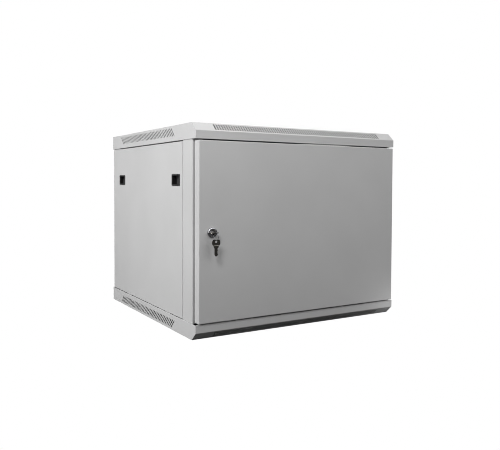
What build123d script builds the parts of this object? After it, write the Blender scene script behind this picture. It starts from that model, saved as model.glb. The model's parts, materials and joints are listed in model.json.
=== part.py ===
from build123d import *
import os
from math import floor, hypot, sqrt

# Wall mount network cabinet, 9 rack units high, built as folded sheet pieces.
# Millimetres. X across, Y from the door to the wall, Z up. The origin is the middle of the
# underside. Pieces are drawn on the left, where X is negative, and mirrored to the right.

# Overall
width = 600.0
depth = 600.0
rack_units = 9
unit_pitch = 44.45
rack_clear = 12.9

# Covers
cover_height = 37.6
cover_sheet = 1.2
chamfer_height = 19.0
chamfer_depth = 20.8
rim_lip = 12.8
ledge_clear = 0.6

# Vent slots
vent_width = 3.2
vent_length = 21.0
vent_pitch = 6.5
vent_margin = 50.0
side_vent_length = 28.7
side_vent_pitch = 9.92
side_vent_angle = 45.0
side_vent_rise = 15.9
side_vent_front = 132.3
side_vent_rear = 90.0

# Fan places in the top cover
fan_spacing = 105.0
fan_apart = 220.0
fan_radius = 56.0
fan_slot_width = 4.0
fan_slot_pitch = 8.6
fan_rib = 8.0
fan_hole_radius = 2.25

# Cable entries
entry_length = 300.0
entry_width = 70.0
entry_inset = 85.0
entry_corner = 4.0
plate_border = 16.0
plate_sheet = 1.2
back_entry_height = 80.0
back_entry_rise = 62.0
trim_grip = 7.0
trim_wall = 2.0

# Corner posts
side_inset = 2.0
post_nose_clear = 1.2
post_depth = 54.5
post_sheet = 1.5
post_front_flange = 26.0
post_inner_flange = 36.0
post_bend = 1.2
post_tab_width = 30.0
rear_post_depth = 50.0
rear_post_flange = 46.0

# Side panels
panel_sheet = 1.0
panel_seam = 1.0
panel_gap_top = 2.5
panel_gap_bottom = 0.8
panel_fold = 12.0
panel_post_gap = 0.5
hook_width = 30.0
hook_drop = 8.0
hook_clear = 0.5
hook_inset = 90.0

# Back panel
back_sheet = 1.2
back_gap = 0.3
back_edge_gap = 0.5
wall_spacing_x = 450.0
wall_spacing_z = 350.0
wall_hole_radius = 4.5
keyhole_spacing = 300.0
keyhole_entry_radius = 7.5
keyhole_slot_radius = 4.5
keyhole_run = 14.0
keyhole_drop = 60.0

# Side panel latches
latch_front = 116.4
latch_rear = 515.9
latch_drop = 94.2
bezel_length = 48.0
bezel_height = 28.5
bezel_proud = 1.6
bezel_corner = 3.0
bezel_round = 0.6
bezel_lap_end = 3.2
bezel_lap_side = 2.2
pocket_wall = 1.5
pocket_depth = 9.0
pocket_clear = 0.3
barb_lap = 0.6
barb_depth = 1.8
barb_length = 14.0
slide_length = 11.0
slide_height = 13.0
slide_recess = 1.2
slide_clear = 0.3
slide_travel = 6.0
slide_stop_clear = 0.3
slide_ridge = 1.0
slide_ridge_depth = 0.5
slide_ridge_count = 3
neck_width = 8.0
neck_height = 8.0
neck_rise = 3.0
tongue_sheet = 2.0
tongue_width = 10.0
tongue_overlap = 4.5
tongue_gap = 0.5
tongue_shelf = 5.0
latch_spring_length = 11.0
latch_spring_radius = 1.7
latch_spring_wire = 0.35
latch_spring_turns = 6
spring_seat_clear = 0.1
spring_lug = 1.5

# Depth bars
bar_sheet = 1.5
bar_lip = 14.0
bar_web = 35.0
bar_latch_drop = 16.0
bar_low_rise = 110.0
bar_tab_clear = 2.0
bar_lip_setback = 3.5
bar_slot_length = 34.0
bar_slot_width = 6.8
bar_slot_count = 9

# 19 inch rails
rail_sheet = 2.0
rail_opening = 450.0
rail_hole_spacing = 465.1
rail_web_offset = 21.0
rail_web_depth = 45.0
rail_setback = 95.0
rail_rear_setback = 100.0
rail_overrun = 8.0
rail_hole = 9.5
rail_hole_offsets = (6.35, 22.225, 38.1)
rail_screw_inset = 25.0

# Door
door_side_inset = 6.0
door_proud = 5.0
door_depth = 22.5
door_gap_top = 3.8
door_gap_bottom = 3.0
door_sheet = 1.2
door_lip = 12.0
door_round = 2.0
stiffener_width = 60.0
stiffener_flange = 14.0
stiffener_height = 11.0
stiffener_sheet = 1.0
stiffener_end_gap = 20.0

# Door hinges
pin_radius = 3.0
pin_inset_x = 9.0
pin_inset_y = 11.0
pin_running = 0.05
pin_reach = 2.5
pin_chamfer = 0.75
bush_wall = 1.2
bush_flange = 2.0
bush_flange_height = 1.0
bush_length = 4.0
thrust_clear = 0.15
bracket_sheet = 1.5
bracket_drop = 30.0
bracket_width = 16.0
bracket_reach = 18.0
collar_radius = 4.7
collar_height = 2.0
pin_tail = 14.0
pin_handle_radius = 1.5
pin_handle_length = 24.0
hinge_spring_wire = 0.5
hinge_spring_turns = 8
hinge_spring_clear = 0.5

# Lock
lock_inset = 33.0
lock_height = 249.0
lock_collar_radius = 12.0
lock_collar_proud = 4.0
lock_collar_round = 2.6
lock_body_radius = 9.5
lock_body_clear = 0.1
lock_nut_flats = 24.0
lock_nut_height = 4.0
plug_radius = 6.0
plug_running = 0.05
plug_recess = 4.5
plug_chamfer = 0.5
cam_clear = 0.8
cam_seat = 0.3
cam_length = 28.0
cam_width = 15.0
cam_sheet = 2.0
cam_screw_radius = 2.0
cam_screw_depth = 6.0
cam_screw_head_radius = 3.8
cam_screw_head_height = 2.6

# Keys and ring
key_thickness = 1.8
key_blade_width = 6.5
key_blade_length = 19.0
key_blade_clear = 0.15
key_shoulder_width = 11.0
key_stop_width = 8.4
key_seat_clear = 0.3
key_bow_clear = 0.5
key_bow_width = 20.0
key_bow_length = 14.0
key_bow_corner = 5.0
key_bow_sink = 1.3
key_tip_width = 2.2
key_hole_radius = 2.8
key_hole_inset = 4.6
ring_offset_y = 6.8
ring_offset_z = 7.4
ring_wire = 0.6
ring_hang_gap = 0.3

# Buffers, earth studs and screws
buffer_radius = 4.5
buffer_gap = 0.3
buffer_inset = 50.0
buffer_edge = 7.0
buffer_round = 1.0
stud_radius = 3.0
stud_length = 14.0
stud_nut_flats = 10.0
stud_nut_height = 5.0
stud_nut_rise = 3.5
stud_inset_x = 120.0
stud_inset_y = 190.0
door_stud_inset = 60.0
screw_radius = 3.0
screw_hole_clear = 0.05
screw_head_radius = 5.5
screw_head_height = 3.2
screw_socket = 4.0
screw_socket_depth = 1.6
low_head_height = 1.1
low_head_radius = 5.0
small_screw_radius = 2.0
small_head_radius = 3.8
small_head_height = 2.0
nut_flats = 10.0
nut_height = 5.0
frame_screw_inset = 13.0
bar_screw_spread = 20.0
back_screw_inset = 25.0
back_screw_rows = 3
back_screw_margin = 60.0

# Places that follow from the sizes
height = rack_units * unit_pitch + 2 * (cover_height + rack_clear)
front = -depth / 2
rear = depth / 2
middle = height / 2
cover_top = height - cover_height

side_face = -(width / 2 - side_inset)
post_front = front + chamfer_depth + post_nose_clear
post_back = post_front + post_depth
back_outer = rear - cover_sheet - back_gap
back_inner = back_outer - back_sheet
rear_post_side = side_face + panel_sheet + panel_post_gap
rear_post_front = back_inner - rear_post_depth

panel_front = post_back + panel_seam
panel_rear = back_inner - panel_post_gap
panel_bottom = cover_height + panel_gap_bottom
panel_top = cover_top - panel_gap_top
fold_end = rear_post_front - panel_seam

latch_z = cover_top - latch_drop
latch_places = {"front": front + latch_front, "rear": front + latch_rear}
pocket_length = bezel_length - 2 * (bezel_lap_end + pocket_wall)
pocket_height = bezel_height - 2 * (bezel_lap_side + pocket_wall)
pocket_back = side_face + pocket_depth
tongue_face = pocket_back + pocket_wall + slide_clear
slide_shift = -(pocket_length / 2 - slide_clear - slide_length / 2)
slide_low = latch_z - pocket_height / 2 + slide_clear
neck_low = latch_z - pocket_height / 2 + neck_rise
lip_top = latch_z - bar_latch_drop

bar_lip_inner = tongue_face - tongue_gap
bar_lip_outer = bar_lip_inner - bar_sheet
bar_web_inner = -(rail_opening / 2 + rail_web_offset + rail_sheet)
bar_tab_outer = side_face + panel_fold + bar_tab_clear
bar_lips = {"upper": lip_top, "lower": bar_low_rise}

rail_web_inner = bar_web_inner + rail_sheet
rail_low = cover_height + rack_clear - rail_overrun
rail_high = height - rail_low
rail_front = front + rail_setback
rail_rear = rear - rail_rear_setback
rail_screw_y = (rail_front + rail_screw_inset, rail_rear - rail_screw_inset)

door_edge = width / 2 - door_side_inset
door_front = front - door_proud
door_back = door_front + door_depth
door_low = cover_height + door_gap_bottom
door_high = cover_top - door_gap_top

pin_x = door_edge - pin_inset_x
pin_y = door_front + pin_inset_y
guide_high = door_high - door_sheet - bracket_drop
guide_low = door_low + door_sheet + bracket_drop

lock_x = -door_edge + lock_inset
lock_face = door_front - lock_collar_proud
cam_front = post_front + post_sheet + cam_clear
plug_front = lock_face + plug_recess
key_bow_low = lock_face - key_bow_clear
key_shoulder_out = plug_recess + key_bow_clear - key_seat_clear
key_bow_tip = key_bow_low - key_bow_length
key_hole_y = key_bow_tip + key_hole_inset
ring_radius = hypot(ring_offset_y, ring_offset_z)
ring_y = key_hole_y - ring_offset_y
ring_z = lock_height - ring_offset_z
ring_low = ring_z - ring_radius
spare_hole_z = ring_low - (key_hole_radius - ring_wire - ring_hang_gap)


def block(low, high, mode=Mode.ADD):
    """A square-cornered block between two opposite corners."""
    size = [b - a for a, b in zip(low, high)]
    centre = tuple((a + b) / 2 for a, b in zip(low, high))
    with Locations(centre):
        Box(*size, mode=mode)


def mirrored(piece):
    """The right-hand twin of a left-hand piece."""
    with BuildPart() as twin:
        mirror(piece.part, about=Plane.YZ)
    return twin


def upended(piece):
    """The top twin of a piece drawn at the bottom."""
    with BuildPart() as twin:
        mirror(piece.part, about=Plane.XY.offset(middle))
    return twin


def drill(places, normal, radius, reach):
    """Round holes through the piece being made, centred on places, reach deep to each side."""
    for place in places:
        with BuildSketch(Plane(origin=place, z_dir=normal)) as hole:
            Circle(radius)
        extrude(hole.sketch, amount=reach, both=True, mode=Mode.SUBTRACT)


def screws(places, normal, radius, length, head_radius, head_height, socket):
    """A group of screws. Each place is under the head, and the head stands along normal."""
    with BuildPart() as group:
        for place in places:
            seat = Plane(origin=place, z_dir=normal)
            with BuildSketch(seat):
                Circle(radius)
            extrude(amount=-length)
            with BuildSketch(seat):
                Circle(head_radius)
            extrude(amount=head_height)
            with BuildSketch(seat.offset(head_height)):
                RegularPolygon(socket / 2, 6, major_radius=False)
            extrude(amount=-min(screw_socket_depth, head_height / 2), mode=Mode.SUBTRACT)
    return group


def nuts(places, normal, flats, radius, thickness):
    """A group of hexagon nuts, each standing on its place along normal."""
    with BuildPart() as group:
        for place in places:
            with BuildSketch(Plane(origin=place, z_dir=normal)):
                RegularPolygon(flats / 2, 6, major_radius=False)
                Circle(radius, mode=Mode.SUBTRACT)
            extrude(amount=thickness)
    return group


def coil(radius, wire, length, turns, foot):
    """A coil spring standing on the point foot."""
    with BuildPart() as spring:
        with BuildLine():
            turn = Helix(pitch=(length - 2 * wire) / turns, height=length - 2 * wire, radius=radius,
                         center=(foot[0], foot[1], foot[2] + wire))
        with BuildSketch(turn ^ 0):
            Circle(wire)
        sweep()
    return spring


# Screw places, used by the holes and by the screws


def post_screw_places():
    """Two screws in each end tab of each post, at the bottom of the cabinet."""
    front_y = (post_front + frame_screw_inset, post_back - frame_screw_inset)
    rear_y = (rear_post_front + frame_screw_inset, back_inner - frame_screw_inset)
    x = side_face + post_tab_width / 2
    return [(s * x, y, cover_sheet) for s in (1, -1) for y in front_y + rear_y]


def bar_screw_places(lip):
    """Two screws through each end tab of the depth bars on the left."""
    x = (bar_tab_outer + side_face + post_inner_flange) / 2
    z = lip - bar_lip - bar_web / 2
    spread = bar_screw_spread / 2
    ends = ((post_back + bar_sheet, 1), (rear_post_front - bar_sheet, -1))
    return [((x, y, z + dz), (0, way, 0)) for y, way in ends for dz in (-spread, spread)]


def rail_screw_places():
    """One screw where each rail crosses each depth bar on the left."""
    heights = [lip - bar_lip - bar_web / 2 for lip in bar_lips.values()]
    return [(rail_web_inner, y, z) for y in rail_screw_y for z in heights]


def back_screw_places():
    """The screws down both edges of the back panel, on its outer face."""
    x = rear_post_side + back_screw_inset
    step = (height - 2 * back_screw_margin) / (back_screw_rows - 1)
    heights = [back_screw_margin + i * step for i in range(back_screw_rows)]
    return [(s * x, back_outer, z) for s in (1, -1) for z in heights]


def plate_screw_places():
    """The four screws of the bottom cable plate, on its inner face."""
    x = entry_length / 2 + plate_border / 2
    y = rear - entry_inset
    dy = entry_width / 2 + plate_border / 2
    return [(s * x, y + t * dy, cover_sheet + plate_sheet) for s in (1, -1) for t in (1, -1)]


# Covers


def cover_outline(rim):
    """The corners of the bottom tray's side view, with its mouth at height rim."""
    return [(front, rim), (front, chamfer_height), (front + chamfer_depth, 0), (rear, 0), (rear, rim)]


def fan_grille(x):
    """Slots in rows that fill a circle, with a rib down the middle, and four fan screw holes."""
    rows = floor(fan_radius / fan_slot_pitch)
    with BuildSketch(Plane.XY) as grille:
        for i in range(-rows, rows + 1):
            half = sqrt(fan_radius ** 2 - (i * fan_slot_pitch) ** 2)
            run = half - fan_rib / 2
            if run < 2 * fan_slot_width:
                continue
            for s in (1, -1):
                with Locations((x + s * (fan_rib / 2 + run / 2), i * fan_slot_pitch)):
                    SlotOverall(run, fan_slot_width)
        with Locations((x, 0)):
            with GridLocations(fan_spacing, fan_spacing, 2, 2):
                Circle(fan_hole_radius)
    extrude(grille.sketch, amount=2 * cover_sheet, both=True, mode=Mode.SUBTRACT)


def tray(fan_sides):
    """A cover as it lies at the bottom, with a fan grille on each of fan_sides."""
    inner = width / 2 - cover_sheet
    with BuildPart() as cover:
        with BuildSketch(Plane.YZ.offset(-width / 2)):
            with BuildLine():
                Polyline(*cover_outline(cover_height), close=True)
            make_face()
        extrude(amount=width)
        with BuildSketch(Plane.YZ.offset(-inner)):
            with BuildLine():
                Polyline(*cover_outline(cover_height + cover_sheet), close=True)
            make_face()
            offset(amount=-cover_sheet, kind=Kind.INTERSECTION, mode=Mode.REPLACE)
        extrude(amount=2 * inner, mode=Mode.SUBTRACT)

        rim_low = cover_height - cover_sheet
        block((-inner, front + cover_sheet, rim_low), (inner, post_front - ledge_clear, cover_height))
        for s in (1, -1):
            x = sorted((s * inner, s * (inner - rim_lip)))
            block((x[0], panel_front, rim_low), (x[1], fold_end, cover_height))

        with BuildSketch(Plane.XY):
            with Locations((0, rear - entry_inset)):
                RectangleRounded(entry_length, entry_width, entry_corner)
        extrude(amount=2 * cover_sheet, both=True, mode=Mode.SUBTRACT)

        for y in (panel_front + hook_inset, fold_end - hook_inset):
            half = hook_width / 2 + hook_clear
            for s in (1, -1):
                x = sorted((s * (side_face - hook_clear), s * (side_face + panel_sheet + hook_clear)))
                block((x[0], y - half, rim_low), (x[1], y + half, cover_height), Mode.SUBTRACT)

        drill(post_screw_places(), (0, 0, 1), screw_radius + screw_hole_clear, 2 * cover_sheet)
        drill(plate_screw_places(), (0, 0, 1), small_screw_radius + screw_hole_clear, 2 * cover_sheet)
        drill([(pin_x, pin_y, cover_height)], (0, 0, 1), pin_radius + bush_wall, 2 * cover_sheet)
        for side in fan_sides:
            fan_grille(side * fan_apart / 2)

        run = width - 2 * vent_margin
        slope = Plane(origin=(0, front + chamfer_depth / 2, chamfer_height / 2), x_dir=(1, 0, 0),
                      z_dir=(0, -chamfer_height, -chamfer_depth))
        with BuildSketch(slope):
            with GridLocations(vent_pitch, 0, floor(run / vent_pitch) + 1, 1):
                SlotOverall(vent_length, vent_width, rotation=90)
        extrude(amount=2 * cover_sheet, both=True, mode=Mode.SUBTRACT)

        count = floor((depth - side_vent_front - side_vent_rear) / side_vent_pitch) + 1
        with BuildSketch(Plane.YZ):
            for i in range(count):
                with Locations((front + side_vent_front + i * side_vent_pitch, side_vent_rise)):
                    SlotOverall(side_vent_length, vent_width, rotation=-side_vent_angle)
        extrude(amount=width / 2 + cover_sheet, both=True, mode=Mode.SUBTRACT)
    return cover


def cable_plate():
    """The blanking plate over the bottom cable entry, on the inside of the skin."""
    with BuildPart() as plate:
        with BuildSketch(Plane.XY.offset(cover_sheet)):
            with Locations((0, rear - entry_inset)):
                RectangleRounded(entry_length + 2 * plate_border, entry_width + 2 * plate_border,
                                 entry_corner)
        extrude(amount=plate_sheet)
        drill(plate_screw_places(), (0, 0, 1), small_screw_radius + screw_hole_clear, 2 * plate_sheet)
    return plate


bottom_cover = tray(())
top_cover = upended(tray((1, -1)))

bottom_cable_plate = cable_plate()
top_cable_plate = upended(bottom_cable_plate)


# Corner posts


def channel(x, y_low, y_high, flange_low, flange_high, tab):
    """A post on the left: a C section on end, closed by a screwed tab at the top and bottom."""
    low, high = cover_sheet, height - cover_sheet
    t = post_sheet
    with BuildPart() as post:
        with BuildSketch(Plane.XY.offset(low)) as section:
            with BuildLine():
                Polyline((x, y_low), (x + flange_low, y_low), (x + flange_low, y_low + t), (x + t, y_low + t),
                         (x + t, y_high - t), (x + flange_high, y_high - t), (x + flange_high, y_high),
                         (x, y_high), close=True)
            make_face()
            fillet(section.vertices().group_by(Axis.X)[1], post_bend)
            fillet(section.vertices().group_by(Axis.X)[0], post_bend + t)
        extrude(amount=high - low)
        inside = (x + t / 2, y_low + t / 2), (x + tab, y_high - t / 2)
        block((*inside[0], low), (*inside[1], low + t))
        block((*inside[0], high - t), (*inside[1], high))
        drill(post_screw_places(), (0, 0, 1), screw_radius + screw_hole_clear, 2 * t)
        drill([(a, b, height - c) for a, b, c in post_screw_places()], (0, 0, 1),
              screw_radius + screw_hole_clear, 2 * t)
        for lip in bar_lips.values():
            places = [place for place, way in bar_screw_places(lip)]
            drill(places, (0, 1, 0), screw_radius + screw_hole_clear, 2 * (t + bar_sheet))
    return post


front_post_left = channel(side_face, post_front, post_back, post_front_flange, post_inner_flange,
                          post_tab_width)
front_post_right = mirrored(front_post_left)

with BuildPart() as rear_post_left:
    add(channel(rear_post_side, rear_post_front, back_inner,
                post_inner_flange - panel_sheet - panel_post_gap, rear_post_flange,
                post_tab_width).part)
    drill(back_screw_places(), (0, 1, 0), screw_radius + screw_hole_clear, 2 * post_sheet)
rear_post_right = mirrored(rear_post_left)


# Back panel


with BuildPart() as back_panel:
    edge = -rear_post_side - back_edge_gap
    low = cover_sheet + back_edge_gap
    block((-edge, back_inner, low), (edge, back_outer, height - low))
    entry_low = cover_height + back_entry_rise
    block((-entry_length / 2, back_inner, entry_low),
          (entry_length / 2, back_outer, entry_low + back_entry_height), Mode.SUBTRACT)
    wall_places = [(s * wall_spacing_x / 2, back_outer, middle + t * wall_spacing_z / 2)
                   for s in (1, -1) for t in (1, -1)]
    drill(wall_places, (0, 1, 0), wall_hole_radius, 2 * back_sheet)
    drill(back_screw_places(), (0, 1, 0), screw_radius + screw_hole_clear, 2 * back_sheet)
    for side in (1, -1):
        x = side * keyhole_spacing / 2
        z = cover_top - keyhole_drop
        drill([(x, back_outer, z)], (0, 1, 0), keyhole_entry_radius, 2 * back_sheet)
        drill([(x, back_outer, z + keyhole_run)], (0, 1, 0), keyhole_slot_radius, 2 * back_sheet)
        half = keyhole_slot_radius
        block((x - half, back_inner, z), (x + half, back_outer, z + keyhole_run), Mode.SUBTRACT)

with BuildPart() as back_entry_trim:
    half = entry_length / 2
    entry_high = entry_low + back_entry_height
    grip = trim_grip
    wall = trim_wall
    block((-half - grip, back_inner - wall, entry_low - grip), (half + grip, back_inner, entry_high + grip))
    block((-half, back_inner, entry_low), (half, back_outer, entry_high))
    block((-half + wall, back_inner - wall, entry_low + wall), (half - wall, back_outer, entry_high - wall),
          Mode.SUBTRACT)


# Side panels


with BuildPart() as side_panel_left:
    inner = side_face + panel_sheet
    fold = side_face + panel_fold
    block((side_face, panel_front, panel_bottom), (inner, panel_rear, panel_top))
    block((side_face, panel_front, panel_bottom), (fold, panel_front + panel_sheet, panel_top))
    block((side_face, panel_front, panel_bottom), (fold, fold_end, panel_bottom + panel_sheet))
    block((side_face, panel_front, panel_top - panel_sheet), (fold, fold_end, panel_top))
    for y in (panel_front + hook_inset, fold_end - hook_inset):
        block((side_face, y - hook_width / 2, panel_bottom - hook_drop),
              (inner, y + hook_width / 2, panel_bottom))
    for y in latch_places.values():
        half_length = pocket_length / 2 + pocket_wall + pocket_clear
        half_height = pocket_height / 2 + pocket_wall + pocket_clear
        block((side_face, y - half_length, latch_z - half_height),
              (inner, y + half_length, latch_z + half_height), Mode.SUBTRACT)
side_panel_right = mirrored(side_panel_left)


# Latches


def latch_housing(y):
    """Bezel, pocket, the slot behind the thumb piece, snap barbs and the spring's lug."""
    outer_length = pocket_length / 2 + pocket_wall
    outer_height = pocket_height / 2 + pocket_wall
    back_face = pocket_back + pocket_wall
    with BuildPart() as housing:
        with BuildSketch(Plane(origin=(side_face, y, latch_z), x_dir=(0, 1, 0), z_dir=(-1, 0, 0))):
            RectangleRounded(bezel_length, bezel_height, bezel_corner)
        extrude(amount=bezel_proud)
        rim = housing.faces().sort_by(Axis.X)[0]
        fillet(rim.edges(), bezel_round)
        block((side_face, y - outer_length, latch_z - outer_height),
              (back_face, y + outer_length, latch_z + outer_height))
        block((side_face - bezel_proud, y - pocket_length / 2, latch_z - pocket_height / 2),
              (pocket_back, y + pocket_length / 2, latch_z + pocket_height / 2), Mode.SUBTRACT)
        half = neck_width / 2 + slide_clear
        block((pocket_back, y + slide_shift - half, neck_low - slide_clear),
              (back_face, y + slide_shift + half, neck_low + neck_height + slide_travel + slide_stop_clear),
              Mode.SUBTRACT)
        barb = side_face + panel_sheet
        for s in (1, -1):
            z = sorted((latch_z + s * outer_height, latch_z + s * (outer_height + pocket_clear + barb_lap)))
            block((barb, y - barb_length / 2, z[0]), (barb + barb_depth, y + barb_length / 2, z[1]))
        lug_z = neck_low + neck_height + latch_spring_length
        block((back_face, y + slide_shift - tongue_width / 2, lug_z),
              (tongue_face + tongue_shelf, y + slide_shift + tongue_width / 2, lug_z + spring_lug))
        block((back_face - pocket_wall, y + slide_shift - tongue_width / 2, latch_z + pocket_height / 2),
              (back_face, y + slide_shift + tongue_width / 2, lug_z + spring_lug))
    return housing


def latch_slide(y):
    """The thumb piece in the pocket, its neck through the back wall and the tongue behind it."""
    centre = y + slide_shift
    face = side_face - bezel_proud + slide_recess
    neck_top = neck_low + neck_height
    with BuildPart() as slide:
        block((face, centre - slide_length / 2, slide_low),
              (pocket_back - slide_clear, centre + slide_length / 2, slide_low + slide_height))
        step = slide_height / (slide_ridge_count + 1)
        for i in range(slide_ridge_count):
            z = slide_low + (i + 1) * step
            block((face, centre - slide_length / 2, z - slide_ridge / 2),
                  (face + slide_ridge_depth, centre + slide_length / 2, z + slide_ridge / 2), Mode.SUBTRACT)
        block((pocket_back - slide_clear, centre - neck_width / 2, neck_low),
              (tongue_face, centre + neck_width / 2, neck_top))
        block((tongue_face, centre - tongue_width / 2, lip_top - tongue_overlap),
              (tongue_face + tongue_sheet, centre + tongue_width / 2, neck_top))
        block((tongue_face, centre - tongue_width / 2, neck_top - tongue_sheet),
              (tongue_face + tongue_shelf, centre + tongue_width / 2, neck_top))
    return slide


with BuildPart() as latch_housings_left:
    for place in latch_places.values():
        add(latch_housing(place).part)
latch_housings_right = mirrored(latch_housings_left)

latch_slides = {}
latch_springs = {}
for place_name, place in latch_places.items():
    slide = latch_slide(place)
    foot = (tongue_face + tongue_shelf / 2, place + slide_shift, neck_low + neck_height + spring_seat_clear)
    spring = coil(latch_spring_radius, latch_spring_wire, latch_spring_length - 2 * spring_seat_clear,
                  latch_spring_turns, foot)
    latch_slides[f"latch_slide_{place_name}_left"] = slide
    latch_slides[f"latch_slide_{place_name}_right"] = mirrored(slide)
    latch_springs[f"latch_spring_{place_name}_left"] = spring
    latch_springs[f"latch_spring_{place_name}_right"] = mirrored(spring)


# Depth bars


def depth_bar(lip):
    """A Z section bar on the left. Its upturned lip is what the latch tongues hook behind."""
    shelf = lip - bar_lip
    t = bar_sheet
    lip_front = post_back + bar_lip_setback
    lip_rear = rear_post_front - bar_lip_setback
    with BuildPart() as bar:
        block((bar_lip_outer, lip_front, shelf - t), (bar_lip_inner, lip_rear, lip))
        block((bar_lip_outer, lip_front, shelf - t), (bar_web_inner, lip_rear, shelf))
        block((bar_tab_outer, post_back, shelf - t), (bar_web_inner, rear_post_front, shelf))
        block((bar_web_inner - t, post_back, shelf - bar_web), (bar_web_inner, rear_post_front, shelf))
        for y in (post_back, rear_post_front - t):
            block((bar_tab_outer, y, shelf - bar_web), (bar_web_inner, y + t, shelf))
        first, last = rail_screw_y
        slot_z = shelf - bar_web / 2
        with BuildSketch(Plane(origin=(bar_web_inner, 0, 0), x_dir=(0, 1, 0), z_dir=(1, 0, 0))):
            for i in range(bar_slot_count):
                with Locations((first + i * (last - first) / (bar_slot_count - 1), slot_z)):
                    SlotOverall(bar_slot_length, bar_slot_width)
        extrude(amount=2 * t, both=True, mode=Mode.SUBTRACT)
        drill([place for place, way in bar_screw_places(lip)], (0, 1, 0),
              screw_radius + screw_hole_clear, 2 * t)
    return bar


bars = {}
for level, lip_height in bar_lips.items():
    left_bar = depth_bar(lip_height)
    bars[f"depth_bar_{level}_left"] = left_bar
    bars[f"depth_bar_{level}_right"] = mirrored(left_bar)


# 19 inch rails


def rack_rail(face, way):
    """An L section rail on the left. way is 1 where its web runs to the rear of its face."""
    edge = -rail_opening / 2
    flange = sorted((face, face + way * rail_sheet))
    web = sorted((face, face + way * rail_web_depth))
    with BuildPart() as rail:
        block((bar_web_inner, flange[0], rail_low), (edge, flange[1], rail_high))
        block((bar_web_inner, web[0], rail_low), (rail_web_inner, web[1], rail_high))
        with BuildSketch(Plane(origin=(-rail_hole_spacing / 2, face, 0), x_dir=(1, 0, 0), z_dir=(0, -1, 0))):
            for unit in range(rack_units):
                for rise in rail_hole_offsets:
                    with Locations((0, cover_height + rack_clear + unit * unit_pitch + rise)):
                        Rectangle(rail_hole, rail_hole)
        extrude(amount=2 * rail_sheet, both=True, mode=Mode.SUBTRACT)
        drill(rail_screw_places(), (1, 0, 0), screw_radius + screw_hole_clear, 2 * rail_sheet)
    return rail


rails = {}
for row, face, way in (("front", rail_front, 1), ("rear", rail_rear, -1)):
    left_rail = rack_rail(face, way)
    rails[f"rack_rail_{row}_left"] = left_rail
    rails[f"rack_rail_{row}_right"] = mirrored(left_rail)


# Door


door_stud = (door_edge - door_stud_inset, door_front + door_sheet, door_low + door_stud_inset)

with BuildPart() as door:
    block((-door_edge, door_front, door_low), (door_edge, door_back, door_high))
    fillet(door.faces().sort_by(Axis.Y)[0].edges(), door_round)
    inner = door_edge - door_sheet
    lip = door_edge - door_lip
    block((-inner, door_front + door_sheet, door_low + door_sheet),
          (inner, door_back - door_sheet, door_high - door_sheet), Mode.SUBTRACT)
    block((-lip, door_back - door_sheet, door_low + door_lip),
          (lip, door_back, door_high - door_lip), Mode.SUBTRACT)
    drill([(lock_x, door_front, lock_height)], (0, 1, 0), lock_body_radius + lock_body_clear, 2 * door_sheet)
    for z in (door_high, door_low):
        drill([(pin_x, pin_y, z)], (0, 0, 1), pin_radius + pin_running, 2 * door_sheet)

with BuildPart() as door_stiffener:
    sheet = stiffener_sheet
    crown = door_front + door_sheet + stiffener_height
    base = door_front + door_sheet
    half = stiffener_width / 2
    low, high = door_low + stiffener_end_gap, door_high - stiffener_end_gap
    for side in (1, -1):
        wall_x = sorted((side * half, side * (half - sheet)))
        foot_x = sorted((side * (half - sheet), side * (half + stiffener_flange)))
        block((wall_x[0], base, low), (wall_x[1], crown, high))
        block((foot_x[0], base, low), (foot_x[1], base + sheet, high))
    block((-half, crown - sheet, low), (half, crown, high))

with BuildPart() as buffers:
    gap = post_front - door_back - buffer_gap
    for z in (door_low + buffer_inset, door_high - buffer_inset):
        place = (-door_edge + buffer_edge, post_front, z)
        with BuildSketch(Plane(origin=place, z_dir=(0, -1, 0))):
            Circle(buffer_radius)
        extrude(amount=gap)
    fillet(buffers.edges().group_by(Axis.Y)[0], buffer_round)


# Hinges


def hinge_bracket(face, way):
    """A folded bracket welded to the door's side. Its guide plate starts at face, going way."""
    side = door_edge - door_sheet
    plate = sorted((face, face - way * bracket_sheet))
    cheek = sorted((face, face + way * bracket_reach))
    half = bracket_width / 2
    with BuildPart() as bracket:
        block((side - bracket_reach, pin_y - half, plate[0]), (side, pin_y + half, plate[1]))
        block((side - bracket_sheet, pin_y - half, cheek[0]), (side, pin_y + half, cheek[1]))
        drill([(pin_x, pin_y, face)], (0, 0, 1), pin_radius + pin_running, 2 * bracket_sheet)
    return bracket


def hinge_bush(seat, way):
    """A flanged bush in a cover's ledge. seat is the ledge's outer face, way points out of it."""
    with BuildPart() as bush:
        with BuildSketch(Plane(origin=(pin_x, pin_y, seat), z_dir=(0, 0, way))):
            Circle(pin_radius + bush_wall + bush_flange)
            Circle(pin_radius + pin_running, mode=Mode.SUBTRACT)
        extrude(amount=bush_flange_height)
        with BuildSketch(Plane(origin=(pin_x, pin_y, seat), z_dir=(0, 0, -way))):
            Circle(pin_radius + bush_wall)
            Circle(pin_radius + pin_running, mode=Mode.SUBTRACT)
        extrude(amount=bush_length)
    return bush


with BuildPart() as hinge_brackets:
    add(hinge_bracket(guide_high, 1).part)
    add(hinge_bracket(guide_low, -1).part)

with BuildPart() as hinge_bushes:
    add(hinge_bush(cover_top, -1).part)
    add(hinge_bush(cover_height, 1).part)

collar_top = door_high - door_sheet - thrust_clear
spring_foot = guide_high + spring_seat_clear
spring_top = collar_top - collar_height - spring_seat_clear
hinge_spring = coil(pin_radius + hinge_spring_clear + hinge_spring_wire, hinge_spring_wire,
                    spring_top - spring_foot, hinge_spring_turns, (pin_x, pin_y, spring_foot))

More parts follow.
